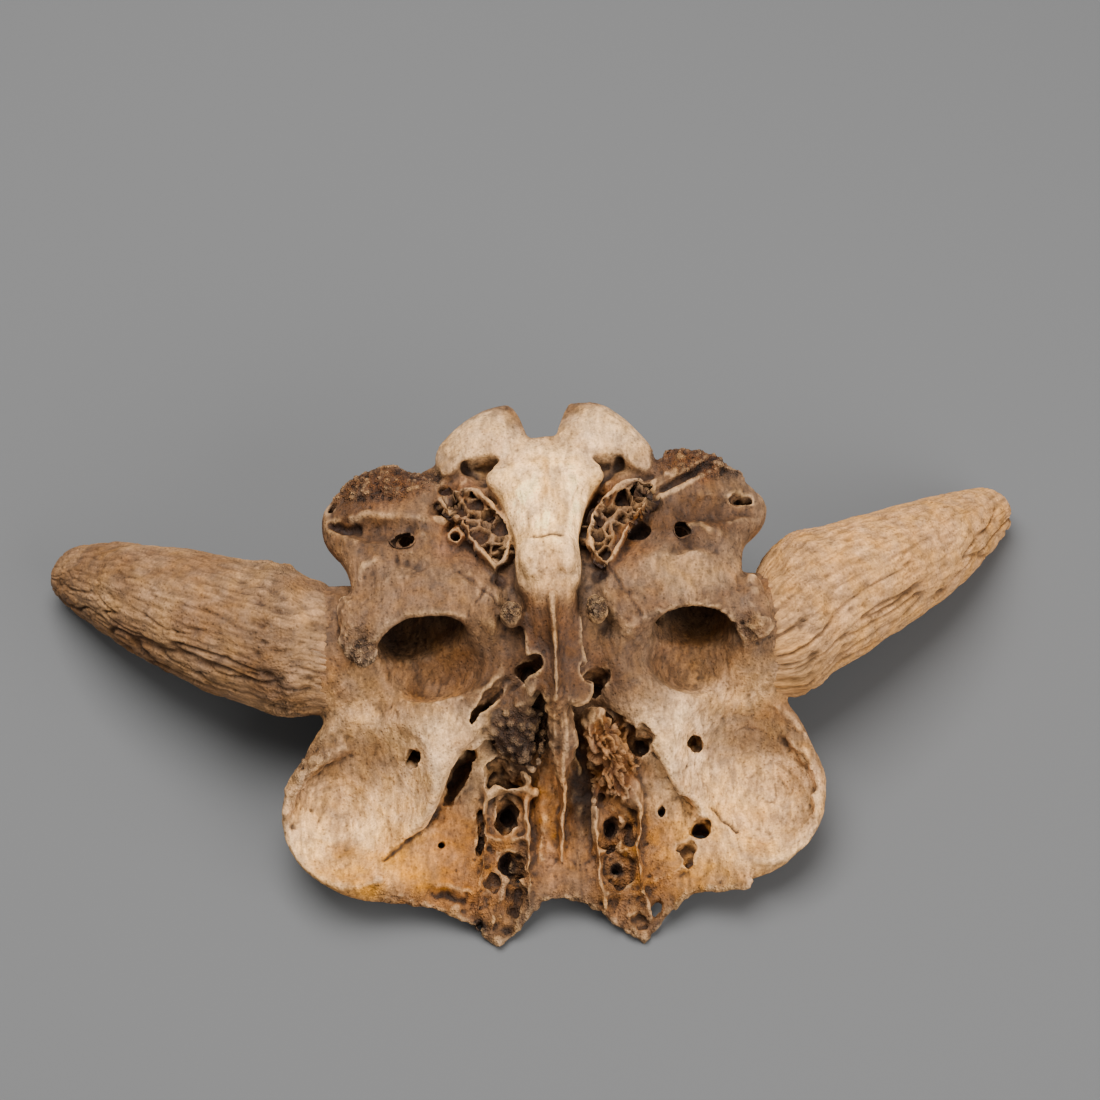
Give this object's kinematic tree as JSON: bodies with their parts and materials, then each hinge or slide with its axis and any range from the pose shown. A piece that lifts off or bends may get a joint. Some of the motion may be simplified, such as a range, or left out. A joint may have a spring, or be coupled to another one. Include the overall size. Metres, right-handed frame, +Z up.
{
  "type": "buffalo skull",
  "caption": "Weathered buffalo cranium with both horn cores, broken off in front of the eyes, resting upside down.",
  "frame": {"origin": "centre of the footprint, on the surface that the skull rests on", "axes": "+Z up, towards the underside of the skull; +X to the right along the horn cores; +Y towards the neck"},
  "size_m": [0.6129, 0.3041, 0.1529],
  "materials": {
    "bone": "dry, porous, matt weathered bone"
  },
  "bodies": {
    "root": {"skull": "bone"}
  },
  "joints": []
}
